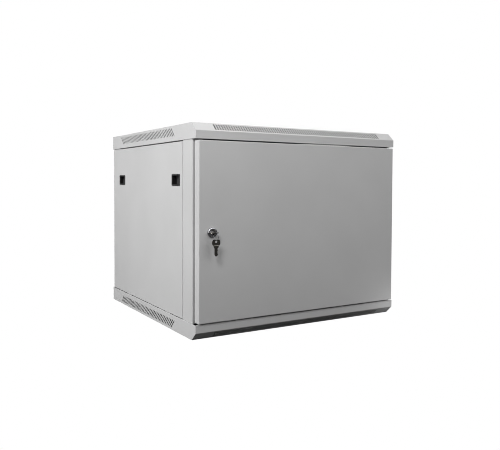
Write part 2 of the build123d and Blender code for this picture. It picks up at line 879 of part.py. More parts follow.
with BuildPart() as hinge_pin_upper:
    pin_foot = guide_high - bracket_sheet - pin_tail
    pin_head = cover_top + cover_sheet + pin_reach
    with BuildSketch(Plane(origin=(pin_x, pin_y, pin_foot))):
        Circle(pin_radius)
    extrude(amount=pin_head - pin_foot)
    chamfer(hinge_pin_upper.faces().sort_by(Axis.Z)[-1].edges(), pin_chamfer)
    with BuildSketch(Plane(origin=(pin_x, pin_y, collar_top))):
        Circle(collar_radius)
    extrude(amount=-collar_height)
    with BuildSketch(Plane(origin=(pin_x - pin_handle_length, pin_y, pin_foot + 2 * pin_handle_radius),
                           z_dir=(1, 0, 0))):
        Circle(pin_handle_radius)
    extrude(amount=pin_handle_length)

with BuildPart() as hinge_pin_lower:
    pin_foot = cover_height - cover_sheet - pin_reach
    pin_head = guide_low + bracket_sheet + pin_reach
    with BuildSketch(Plane(origin=(pin_x, pin_y, pin_foot))):
        Circle(pin_radius)
    extrude(amount=pin_head - pin_foot)
    chamfer(hinge_pin_lower.faces().sort_by(Axis.Z)[0].edges(), pin_chamfer)
    with BuildSketch(Plane(origin=(pin_x, pin_y, door_low))):
        Circle(collar_radius)
    extrude(amount=-(door_gap_bottom - bush_flange_height - thrust_clear))


# Lock and keys


def lock_plane(y):
    """The plane across the lock's axis at y, facing out of the door."""
    return Plane(origin=(lock_x, y, lock_height), x_dir=(1, 0, 0), z_dir=(0, -1, 0))


lock_rear = cam_front - cam_seat
key_slot_half = (key_blade_width / 2 + key_blade_clear, key_thickness / 2 + key_blade_clear)
key_blade_tip = key_bow_low + key_shoulder_out + key_blade_length

with BuildPart() as lock_body:
    with BuildSketch(lock_plane(lock_rear)):
        Circle(lock_body_radius)
    extrude(amount=lock_rear - door_front)
    with BuildSketch(lock_plane(door_front)):
        Circle(lock_collar_radius)
    extrude(amount=lock_collar_proud)
    fillet(lock_body.faces().sort_by(Axis.Y)[0].edges(), lock_collar_round)
    with BuildSketch(lock_plane(lock_rear)):
        Circle(plug_radius + plug_running)
    extrude(amount=lock_rear - lock_face, mode=Mode.SUBTRACT)

with BuildPart() as lock_nut:
    with BuildSketch(lock_plane(door_front + door_sheet + lock_nut_height)):
        RegularPolygon(lock_nut_flats / 2, 6, major_radius=False)
        Circle(lock_body_radius + lock_body_clear, mode=Mode.SUBTRACT)
    extrude(amount=lock_nut_height)

with BuildPart() as lock_plug:
    with BuildSketch(lock_plane(cam_front)):
        Circle(plug_radius)
    extrude(amount=cam_front - plug_front)
    chamfer(lock_plug.faces().sort_by(Axis.Y)[0].edges(), plug_chamfer)
    half_x, half_z = key_slot_half
    block((lock_x - half_x, plug_front, lock_height - half_z),
          (lock_x + half_x, key_blade_tip + key_blade_clear, lock_height + half_z), Mode.SUBTRACT)
    with BuildSketch(lock_plane(cam_front)):
        Circle(cam_screw_radius + screw_hole_clear)
    extrude(amount=cam_screw_depth + screw_hole_clear, mode=Mode.SUBTRACT)

with BuildPart() as lock_cam:
    with BuildSketch(lock_plane(cam_front + cam_sheet)):
        with Locations((0, -(cam_length - cam_width) / 2)):
            SlotOverall(cam_length, cam_width, rotation=90)
        Circle(cam_screw_radius + screw_hole_clear, mode=Mode.SUBTRACT)
    extrude(amount=cam_sheet)

cam_screw = screws([(lock_x, cam_front + cam_sheet, lock_height)], (0, 1, 0), cam_screw_radius,
                   cam_sheet + cam_screw_depth, cam_screw_head_radius, cam_screw_head_height, screw_socket)


def key(plane):
    """A flat key with a tapered shoulder. plane's origin is the hole in the bow, its y axis points
    to the blade's tip."""
    bow_low = key_bow_length - key_hole_inset
    with BuildPart() as blank:
        with BuildSketch(plane.offset(-key_thickness / 2)):
            with Locations((0, bow_low - key_bow_length / 2)):
                RectangleRounded(key_bow_width, key_bow_length, key_bow_corner)
            with BuildLine():
                half_in, half_stop = key_shoulder_width / 2, key_stop_width / 2
                half_out, half_tip = key_blade_width / 2, key_tip_width / 2
                start = bow_low - key_bow_sink
                shoulder = bow_low + key_shoulder_out
                tip = shoulder + key_blade_length
                Polyline((-half_in, start), (half_in, start), (half_stop, shoulder), (half_out, shoulder),
                         (half_out, tip - half_out), (half_tip, tip), (-half_tip, tip),
                         (-half_out, tip - half_out), (-half_out, shoulder), (-half_stop, shoulder), close=True)
            make_face()
            Circle(key_hole_radius, mode=Mode.SUBTRACT)
        extrude(amount=key_thickness)
    return blank


key_in_lock = key(Plane(origin=(lock_x, key_hole_y, lock_height), x_dir=(-1, 0, 0), z_dir=(0, 0, -1)))
spare_key = key(Plane(origin=(lock_x, ring_y, spare_hole_z), x_dir=(-1, 0, 0), z_dir=(0, -1, 0)))

with BuildPart() as key_ring:
    with BuildSketch(Plane(origin=(lock_x, ring_y, ring_z), x_dir=(0, 1, 0), z_dir=(0, 0, 1))):
        with Locations((ring_radius, 0)):
            Circle(ring_wire)
    revolve(axis=Axis((lock_x, ring_y, ring_z), (1, 0, 0)))


# Earth studs, screws and nuts


frame_stud = (side_face + stud_inset_x, rear - stud_inset_y, cover_sheet)
stud_list = (("earth_stud_frame", frame_stud, (0, 0, 1)), ("earth_stud_door", door_stud, (0, 1, 0)))
studs = {}
for stud_name, place, normal in stud_list:
    with BuildPart() as stud:
        with BuildSketch(Plane(origin=place, z_dir=normal)):
            Circle(stud_radius)
        extrude(amount=stud_length)
    studs[stud_name] = stud
    lifted = tuple(p + stud_nut_rise * n for p, n in zip(place, normal))
    studs[stud_name.replace("stud", "nut")] = nuts([lifted], normal, stud_nut_flats,
                                                   stud_radius + screw_hole_clear, stud_nut_height)

heads_low = [(x, y, z + post_sheet) for x, y, z in post_screw_places()]
frame_length = post_sheet + cover_sheet
frame_screws_bottom = screws(heads_low, (0, 0, 1), screw_radius, frame_length,
                             screw_head_radius, screw_head_height, screw_socket)
frame_screws_top = upended(frame_screws_bottom)

with BuildPart() as bar_screws:
    for lip_height in bar_lips.values():
        for place, normal in bar_screw_places(lip_height):
            one = screws([place], normal, screw_radius, bar_sheet + post_sheet,
                         screw_head_radius, screw_head_height, screw_socket)
            add(one.part)
            mirror(one.part, about=Plane.YZ)

with BuildPart() as rail_screws:
    shank = rail_sheet + bar_sheet + nut_height
    group = screws(rail_screw_places(), (1, 0, 0), screw_radius, shank,
                   screw_head_radius, screw_head_height, screw_socket)
    add(group.part)
    mirror(group.part, about=Plane.YZ)

with BuildPart() as rail_nuts:
    nut_places = [(bar_web_inner - bar_sheet, y, z) for x, y, z in rail_screw_places()]
    group = nuts(nut_places, (-1, 0, 0), nut_flats, screw_radius + screw_hole_clear, nut_height)
    add(group.part)
    mirror(group.part, about=Plane.YZ)

back_screws = screws(back_screw_places(), (0, 1, 0), screw_radius, back_sheet + post_sheet,
                     low_head_radius, low_head_height, screw_socket)

plate_screws_bottom = screws(plate_screw_places(), (0, 0, 1), small_screw_radius, plate_sheet + cover_sheet,
                             small_head_radius, small_head_height, screw_socket)
plate_screws_top = upended(plate_screws_bottom)


# One file for each piece


pieces = {
    "bottom_cover": bottom_cover,
    "top_cover": top_cover,
    "bottom_cable_plate": bottom_cable_plate,
    "top_cable_plate": top_cable_plate,
    "front_post_left": front_post_left,
    "front_post_right": front_post_right,
    "rear_post_left": rear_post_left,
    "rear_post_right": rear_post_right,
    "back_panel": back_panel,
    "back_entry_trim": back_entry_trim,
    "side_panel_left": side_panel_left,
    "side_panel_right": side_panel_right,
    "latch_housings_left": latch_housings_left,
    "latch_housings_right": latch_housings_right,
    **latch_slides,
    **latch_springs,
    **bars,
    **rails,
    "door": door,
    "door_stiffener": door_stiffener,
    "door_buffers": buffers,
    "hinge_brackets": hinge_brackets,
    "hinge_bushes": hinge_bushes,
    "hinge_spring": hinge_spring,
    "hinge_pin_upper": hinge_pin_upper,
    "hinge_pin_lower": hinge_pin_lower,
    "lock_body": lock_body,
    "lock_nut": lock_nut,
    "lock_plug": lock_plug,
    "lock_cam": lock_cam,
    "cam_screw": cam_screw,
    "key_in_lock": key_in_lock,
    "spare_key": spare_key,
    "key_ring": key_ring,
    **studs,
    "frame_screws_bottom": frame_screws_bottom,
    "frame_screws_top": frame_screws_top,
    "bar_screws": bar_screws,
    "rail_screws": rail_screws,
    "rail_nuts": rail_nuts,
    "back_screws": back_screws,
    "plate_screws_bottom": plate_screws_bottom,
    "plate_screws_top": plate_screws_top,
}

os.makedirs("parts", exist_ok=True)
for name, piece in pieces.items():
    piece.part.label = name
    export_step(piece.part, f"parts/{name}.step")
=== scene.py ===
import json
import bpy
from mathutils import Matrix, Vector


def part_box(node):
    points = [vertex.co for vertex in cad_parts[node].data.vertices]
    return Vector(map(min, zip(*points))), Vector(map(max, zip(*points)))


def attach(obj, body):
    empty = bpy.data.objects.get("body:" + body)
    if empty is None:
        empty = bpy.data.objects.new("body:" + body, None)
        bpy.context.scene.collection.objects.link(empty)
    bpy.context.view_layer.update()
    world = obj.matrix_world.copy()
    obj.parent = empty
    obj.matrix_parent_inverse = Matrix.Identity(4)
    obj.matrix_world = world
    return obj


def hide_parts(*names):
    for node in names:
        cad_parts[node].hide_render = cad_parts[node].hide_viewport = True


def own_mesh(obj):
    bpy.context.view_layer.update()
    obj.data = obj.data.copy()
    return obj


bl_info = {
    "name": "Wall Mount Network Cabinet",
    "version": (1, 0, 0),
    "blender": (4, 5, 0),
    "location": "View3D > Sidebar > Cabinet",
    "description": "Dresses a nine unit wall cabinet: folded covers, door, latches, lock, keys and a studio",
    "category": "Object",
}

from math import cos, hypot, pi, radians, sin, sqrt

import bmesh
import bpy
from bpy.props import FloatProperty, FloatVectorProperty, PointerProperty, StringProperty
from mathutils import Matrix, Vector

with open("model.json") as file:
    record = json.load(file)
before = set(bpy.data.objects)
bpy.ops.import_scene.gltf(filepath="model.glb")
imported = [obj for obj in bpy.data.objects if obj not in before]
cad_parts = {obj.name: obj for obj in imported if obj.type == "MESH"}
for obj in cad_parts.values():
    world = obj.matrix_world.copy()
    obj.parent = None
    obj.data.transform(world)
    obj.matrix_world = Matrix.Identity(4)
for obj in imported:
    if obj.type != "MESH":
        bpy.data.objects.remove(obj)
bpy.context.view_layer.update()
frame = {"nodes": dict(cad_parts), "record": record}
NODES = frame["nodes"]
BODY_OF = {node: body for body, nodes in frame["record"]["behaviour"]["bodies"].items() for node in nodes}
MM = 0.001
X, Y, Z = range(3)
# Points nearer than MERGE are one point, and heights within LEVEL of each other are the same height.
MERGE = 0.001 * MM
LEVEL = 0.01 * MM
# The photograph's frame in pixels, which the camera was solved in, and the sensor in millimetres.
PHOTO_WIDTH = 500
PHOTO_HEIGHT = 450
SENSOR_WIDTH = 36.0


# Colours and node helpers


def linear(hex_colour):
    """An sRGB hex colour as the linear RGBA that shaders take."""
    values = [int(hex_colour[i:i + 2], 16) / 255 for i in (1, 3, 5)]
    return [v / 12.92 if v <= 0.04045 else ((v + 0.055) / 1.055) ** 2.4 for v in values] + [1.0]


def add_node(tree, kind, inputs=None, **settings):
    """A node with its settings. An input given as a socket is linked, any other is set."""
    node = tree.nodes.new(kind)
    for name, value in settings.items():
        setattr(node, name, value)
    for name, value in (inputs or {}).items():
        if isinstance(value, bpy.types.NodeSocket):
            tree.links.new(value, node.inputs[name])
        else:
            node.inputs[name].default_value = value
    return node


def ramp_stops(node, stops):
    """Sets the stops of a colour ramp, given as position and hex colour."""
    elements = node.color_ramp.elements
    while len(elements) < len(stops):
        elements.new(1.0)
    for element, (position, colour) in zip(elements, stops):
        element.position = position
        element.color = linear(colour)


def new_material(name):
    """An empty node material, with its tree, object coordinates, shader and output."""
    material = bpy.data.materials.new(name)
    material.use_nodes = True
    tree = material.node_tree
    tree.nodes.clear()
    place = add_node(tree, "ShaderNodeTexCoord").outputs["Object"]
    shader = add_node(tree, "ShaderNodeBsdfPrincipled")
    add_node(tree, "ShaderNodeOutputMaterial", {"Surface": shader.outputs["BSDF"]})
    return material, tree, place, shader


def join(tree, shader, colour, sheen, bump):
    """Links a colour ramp, a range for the roughness and a bump to the shader."""
    tree.links.new(colour.outputs["Color"], shader.inputs["Base Color"])
    tree.links.new(sheen.outputs["Result"], shader.inputs["Roughness"])
    tree.links.new(bump.outputs["Normal"], shader.inputs["Normal"])


# Materials


def powder_coat(look):
    """Polyester powder coat on sheet steel, sprayed and baked: pale grey, satin, a little orange peel."""
    material, tree, place, shader = new_material("powder_coat_light_grey")
    # Film thickness drifts over a hand's breadth, which shifts the grey by about one per cent.
    drift = add_node(tree, "ShaderNodeTexNoise", {"Vector": place, "Scale": 1 / 0.14, "Detail": 2.0})
    colour = add_node(tree, "ShaderNodeValToRGB", {"Fac": drift.outputs["Fac"]})
    ramp_stops(colour, [(0.3, look.coat_low), (0.7, look.coat_high)])
    # Orange peel is about 2 mm across on a real panel and is drawn at that size.
    peel = add_node(tree, "ShaderNodeTexNoise", {"Vector": place, "Scale": 1 / (2.2 * MM), "Detail": 3.0,
                                                "Roughness": 0.55})
    sheen = add_node(tree, "ShaderNodeMapRange", {"Value": peel.outputs["Fac"], "From Min": 0.3,
                                                  "From Max": 0.7, "To Min": 0.5, "To Max": 0.6})
    bump = add_node(tree, "ShaderNodeBump", {"Height": peel.outputs["Fac"], "Strength": 0.16,
                                             "Distance": 0.25 * MM})
    join(tree, shader, colour, sheen, bump)
    shader.inputs["IOR"].default_value = 1.5
    # A fine matting agent in the powder takes part of the gloss away.
    shader.inputs["Specular IOR Level"].default_value = 0.3
    return material


def galvanised_sheet():
    """Hot dip galvanised sheet: zinc grey with a faint spangle of crystals about 6 mm across."""
    material, tree, place, shader = new_material("galvanised_sheet")
    crystal = add_node(tree, "ShaderNodeTexVoronoi", {"Vector": place, "Scale": 1 / (6 * MM)})
    tone = add_node(tree, "ShaderNodeSeparateColor", {"Color": crystal.outputs["Color"]})
    colour = add_node(tree, "ShaderNodeValToRGB", {"Fac": tone.outputs["Red"]})
    ramp_stops(colour, [(0.0, "#9A9DA0"), (1.0, "#B9BCBE")])
    sheen = add_node(tree, "ShaderNodeMapRange", {"Value": tone.outputs["Green"], "To Min": 0.34,
                                                  "To Max": 0.5})
    # Rolling leaves fine lines along the sheet, drawn 0.8 mm apart so that they show.
    lines = add_node(tree, "ShaderNodeTexNoise", {"Vector": place, "Scale": 1 / (0.8 * MM), "Detail": 2.0})
    bump = add_node(tree, "ShaderNodeBump", {"Height": lines.outputs["Fac"], "Strength": 0.08,
                                             "Distance": 0.1 * MM})
    join(tree, shader, colour, sheen, bump)
    shader.inputs["Metallic"].default_value = 0.85
    return material


def plated_metal(name, low, high, roughness, grain):
    """Plated or drawn metal: two close tones in soft patches, and fine scratches in its gloss."""
    material, tree, place, shader = new_material(name)
    patches = add_node(tree, "ShaderNodeTexNoise", {"Vector": place, "Scale": 1 / grain, "Detail": 3.0})
    colour = add_node(tree, "ShaderNodeValToRGB", {"Fac": patches.outputs["Fac"]})
    ramp_stops(colour, [(0.35, low), (0.65, high)])
    # Handling scratches are far under a millimetre and are drawn at 0.6 mm so that they show.
    scratches = add_node(tree, "ShaderNodeTexNoise", {"Vector": place, "Scale": 1 / (0.6 * MM),
                                                      "Detail": 4.0})
    sheen = add_node(tree, "ShaderNodeMapRange", {"Value": scratches.outputs["Fac"], "From Min": 0.35,
                                                  "From Max": 0.65, "To Min": roughness,
                                                  "To Max": roughness + 0.12})
    bump = add_node(tree, "ShaderNodeBump", {"Height": scratches.outputs["Fac"], "Strength": 0.05,
                                             "Distance": 0.05 * MM})
    join(tree, shader, colour, sheen, bump)
    shader.inputs["Metallic"].default_value = 1.0
    return material


def moulded(name, low, high, roughness, grain, strength):
    """Injection moulded plastic or rubber: an even tone with the grain of the mould's spark finish."""
    material, tree, place, shader = new_material(name)
    texture = add_node(tree, "ShaderNodeTexNoise", {"Vector": place, "Scale": 1 / grain, "Detail": 4.0,
                                                    "Roughness": 0.6})
    colour = add_node(tree, "ShaderNodeValToRGB", {"Fac": texture.outputs["Fac"]})
    ramp_stops(colour, [(0.3, low), (0.7, high)])
    sheen = add_node(tree, "ShaderNodeMapRange", {"Value": texture.outputs["Fac"],
                                                  "To Min": roughness - 0.06, "To Max": roughness + 0.06})
    bump = add_node(tree, "ShaderNodeBump", {"Height": texture.outputs["Fac"], "Strength": strength,
                                             "Distance": 0.1 * MM})
    join(tree, shader, colour, sheen, bump)
    shader.inputs["IOR"].default_value = 1.5
    return material


MATERIALS = {}


def make_materials(look):
    """Every finish on the cabinet, under the record's slot names."""
    MATERIALS.update({
        "grey_powder_coat": powder_coat(look),
        "galvanised_steel": galvanised_sheet(),
        # Bright zinc plate is silver with a blue cast from its clear passivate.
        "zinc_plate": plated_metal("bright_zinc_plate", "#A9AEB3", "#C3C8CC", 0.24, 3 * MM),
        # Drawn spring wire is dark and smooth from the die.
        "spring_steel": plated_metal("drawn_spring_wire", "#6E7074", "#8A8C90", 0.22, 2 * MM),
        # Chrome on die-cast zinc mirrors the studio: a white arc on the lamps' side, dark elsewhere.
        "lock_chrome": plated_metal("bright_chrome", "#9C9C9F", "#ABABAE", 0.06, 4 * MM),
        # The nickel is darker than bare nickel plate: painted shade that stands in for the dark reflections
        # on the keys.
        "nickel_plate": plated_metal("worn_nickel_plate", "#6B6964", "#7E7B76", 0.16, 3 * MM),
        "earth_brass": plated_metal("turned_brass", "#B08A45", "#C9A45C", 0.25, 2 * MM),
        "black_abs": moulded("black_abs", "#101011", "#19191A", 0.38, 0.9 * MM, 0.2),
        "dark_grey_nylon": moulded("dark_grey_nylon", "#1A1A1B", "#232325", 0.45, 0.9 * MM, 0.15),
        "black_pvc": moulded("black_pvc_trim", "#121213", "#1C1C1D", 0.4, 1.4 * MM, 0.1),
        "white_nylon": moulded("white_nylon", "#D5D4CC", "#E0DFD8", 0.38, 1.2 * MM, 0.08),
        "buffer_rubber": moulded("buffer_rubber", "#1A1A1A", "#262626", 0.75, 1.0 * MM, 0.25),
    })


def slot_of(node):
    """The record's material slot of a CAD node."""
    for part in frame["record"]["subparts"]:
        if part["node"] == node:
            return part["material_slot"]
    raise KeyError(node)


def dress(node):
    """Puts a CAD node's finish on its object."""
    slots = NODES[node].data.materials
    slots.clear()
    slots.append(MATERIALS[slot_of(node)])


# Modelling helpers


def begin(piece, kind="FACE"):
    """Edit mode on one piece alone with nothing selected. kind is VERT, EDGE or FACE."""
    bpy.ops.object.select_all(action="DESELECT")
    piece.select_set(True)
    bpy.context.view_layer.objects.active = piece
    bpy.ops.object.mode_set(mode="EDIT")
    bpy.ops.mesh.select_mode(type=kind)
    bpy.ops.mesh.select_all(action="DESELECT")


def pick(piece, kind, wanted):
    """Selects the verts, edges or faces that are wanted, and says how many."""
    bpy.ops.mesh.select_mode(type={"verts": "VERT", "edges": "EDGE", "faces": "FACE"}[kind])
    bpy.ops.mesh.select_all(action="DESELECT")
    shape = bmesh.from_edit_mesh(piece.data)
    found = [item for item in getattr(shape, kind) if wanted(item)]
    for item in found:
        item.select_set(True)
    bmesh.update_edit_mesh(piece.data)
    return len(found)


def extrude(move, scale=None, about=(0.0, 0.0, 0.0)):
    """Extrudes what is selected, moves it, and may scale it about a point."""
    bpy.ops.mesh.extrude_region_move(TRANSFORM_OT_translate={"value": move})
    if scale:
        bpy.ops.transform.resize(value=scale, center_override=about)


def cut(piece, cutter, operation="DIFFERENCE"):
    """Cuts a piece with another, which is then gone."""
    bpy.ops.object.select_all(action="DESELECT")
    piece.select_set(True)
    bpy.context.view_layer.objects.active = piece
    bpy.ops.object.modifier_add(type="BOOLEAN")
    knife = piece.modifiers[-1]
    knife.operation = operation
    knife.object = cutter
    bpy.ops.object.modifier_apply(modifier=knife.name)
    bpy.data.objects.remove(cutter)


def settle(piece, name, angle=35.0):
    """Leaves edit mode, puts the place into the mesh and shades faces smooth up to an angle."""
    if piece.mode == "EDIT":
        bpy.ops.object.mode_set(mode="OBJECT")
    bpy.ops.object.select_all(action="DESELECT")
    piece.select_set(True)
    bpy.context.view_layer.objects.active = piece
    bpy.ops.object.transform_apply()
    bpy.ops.object.shade_smooth_by_angle(angle=radians(angle))
    bpy.ops.object.modifier_add(type="WEIGHTED_NORMAL")
    piece.modifiers[-1].keep_sharp = True
    bpy.ops.object.modifier_apply(modifier=piece.modifiers[-1].name)
    piece.name = name
    piece.data.name = name
    return piece


def fit(piece, *nodes):
    """The piece stands for CAD nodes: it rides on their body and wears their finish."""
    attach(piece, BODY_OF[nodes[0]])
    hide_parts(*nodes)
    piece.data.materials.clear()
    piece.data.materials.append(MATERIALS[slot_of(nodes[0])])


def corners(node):
    """A CAD node's lowest and highest corners."""
    low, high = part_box(node)
    return Vector(low), Vector(high)


def solids_of(node):
    """The points of each separate solid of a CAD node, in the mesh's own order."""
    shape = bmesh.new()
    shape.from_mesh(NODES[node].data)
    bmesh.ops.remove_doubles(shape, verts=shape.verts, dist=MERGE)
    seen = set()
    solids = []
    for start in shape.verts:
        if start.index in seen:
            continue
        seen.add(start.index)
        waiting, points = [start], []
        while waiting:
            vert = waiting.pop()
            points.append(vert.co.copy())
            for edge in vert.link_edges:
                other = edge.other_vert(vert)
                if other.index not in seen:
                    seen.add(other.index)
                    waiting.append(other)
        solids.append(points)
    shape.free()
    return solids


def box_of(points):
    """The lowest and highest corners of the box round some points."""
    return (Vector([min(p[i] for p in points) for i in range(3)]),
            Vector([max(p[i] for p in points) for i in range(3)]))


def middle_of(points):
    """The middle of the box round some points."""
    low, high = box_of(points)
    return (low + high) / 2


def foot_of(low, high):
    """The place at the middle of a box's underside."""
    return Matrix.Translation(((low.x + high.x) / 2, (low.y + high.y) / 2, low.z))


def set_out(model, places, name):
    """Copies of a model, each with its own mesh and one at each place, joined. The model goes."""
    copies = []
    for place in places:
        copy = bpy.data.objects.new(name, model.data.copy())
        copy.data.transform(place)
        bpy.context.collection.objects.link(copy)
        copies.append(copy)
    bpy.data.objects.remove(model)
    bpy.ops.object.select_all(action="DESELECT")
    for copy in copies:
        copy.select_set(True)
    bpy.context.view_layer.objects.active = copies[0]
    if len(copies) > 1:
        bpy.ops.object.join()
    copies[0].name = name
    return copies[0]


def turned(way, point):
    """A place with its Z axis turned to a way, at a point."""
    turn = Vector((0, 0, 1)).rotation_difference(Vector(way))
    return Matrix.Translation(point) @ turn.to_matrix().to_4x4()


# Faces within FLAT of each other are one face. An edge that turns more than FOLD is a fold or a cut.
FLAT = radians(0.5)
FOLD = radians(40)
# The thickest sheet is 1.5 mm, so a face narrower than this is a cut edge.
CUT_FACE = 1.9 * MM


def softened(node, fold, rim, shortest):
    """Stands for a CAD node with a copy that has its folds rounded by fold and its cut edges by rim.

    A cut edge lies beside the narrow face of the sheet. Edges under shortest, as round a slot, stay sharp.
    """
    piece = bpy.data.objects.new(f"{node}_finished", NODES[node].data.copy())
    bpy.context.collection.objects.link(piece)
    begin(piece, "EDGE")
    bpy.ops.mesh.select_all(action="SELECT")
    bpy.ops.mesh.customdata_custom_splitnormals_clear()
    bpy.ops.mesh.remove_doubles(threshold=MERGE)
    bpy.ops.mesh.dissolve_limited(angle_limit=FLAT)

    def outer(edge):
        return (len(edge.link_faces) == 2 and edge.is_convex and edge.calc_length() > shortest
                and edge.calc_face_angle() > FOLD)

    def narrow(edge):
        return min(face.calc_area() for face in edge.link_faces) < CUT_FACE * edge.calc_length()

    if pick(piece, "edges", lambda edge: outer(edge) and not narrow(edge)):
        bpy.ops.mesh.bevel(offset=fold, segments=3, clamp_overlap=True)
    if pick(piece, "edges", lambda edge: outer(edge) and narrow(edge)):
        bpy.ops.mesh.bevel(offset=rim, segments=2, clamp_overlap=True)
    fit(settle(piece, f"{node}_finished"), node)


# Stage


def soft_box(name, place, target, size, power):
    """A square studio soft box that faces a target."""
    bpy.ops.object.light_add(type="AREA", location=place)
    lamp = bpy.context.object
    lamp.name = name
    lamp.data.shape = "SQUARE"
    lamp.data.size = size
    lamp.data.energy = power
    way = Vector(target) - lamp.location
    lamp.rotation_euler = way.to_track_quat("-Z", "Y").to_euler()


class CabinetLook(bpy.types.PropertyGroup):
    """Colours and rounds that a user would change."""
    fold_round: FloatProperty(name="Fold round", description="Round of a fold in the sheet", default=0.9 * MM,
                              subtype="DISTANCE", unit="LENGTH")
    edge_round: FloatProperty(name="Edge round", description="Round of the coat over a cut edge",
                              default=0.25 * MM, subtype="DISTANCE", unit="LENGTH")
    coat_low: StringProperty(name="Coat, darker", description="Powder coat where the film is thin",
                             default="#C3C3C3")
    coat_high: StringProperty(name="Coat, lighter", description="Powder coat where the film is thick",
                              default="#C7C7C7")


class CabinetStudio(bpy.types.PropertyGroup):
    """The camera and the light."""
    eye: FloatVectorProperty(name="Camera place", description="Where the camera stands",
                             default=(-0.8823, -1.5541, 0.3649), subtype="TRANSLATION", unit="LENGTH")
    yaw: FloatProperty(name="Yaw", description="Turn of the camera to the right of straight ahead",
                       default=radians(32.163), subtype="ANGLE")
    pitch: FloatProperty(name="Pitch", description="Tilt of the camera, negative is down",
                         default=radians(-1.844), subtype="ANGLE")
    roll: FloatProperty(name="Roll", description="Turn of the camera about its own axis",
                        default=radians(-0.291), subtype="ANGLE")
    lens: FloatProperty(name="Lens", description="Focal length in millimetres on a 36 mm sensor",
                        default=607.945 * SENSOR_WIDTH / PHOTO_WIDTH)
    shift_x: FloatProperty(name="Shift across", description="Lens shift as a share of the picture's width",
                           default=-23.0 / PHOTO_WIDTH)
    shift_y: FloatProperty(name="Shift upwards", description="Lens shift as a share of the picture's width",
                           default=(201.787 - PHOTO_HEIGHT / 2) / PHOTO_WIDTH)
    key: FloatProperty(name="Key light", description="Power of the soft box at the upper left of the door",
                       default=7.3, subtype="POWER")
    rear: FloatProperty(name="Rear light", description="Power of the soft box at the rear left",
                        default=10.6, subtype="POWER")
    left: FloatProperty(name="Left light", description="Power of the low soft box on the left",
                        default=15.4, subtype="POWER")
    top: FloatProperty(name="Top light", description="Power of the overhead soft box",
                       default=14.5, subtype="POWER")
    fill: FloatProperty(name="Fill light", description="Power of the wide soft box at the front right",
                        default=17.4, subtype="POWER")
    back: FloatProperty(name="Back light", description="Power of the soft box behind the right side",
                        default=22.0, subtype="POWER")
    low: FloatProperty(name="Low light", description="Power of the small lamp at the lower right corner",
                       default=0.035, subtype="POWER")


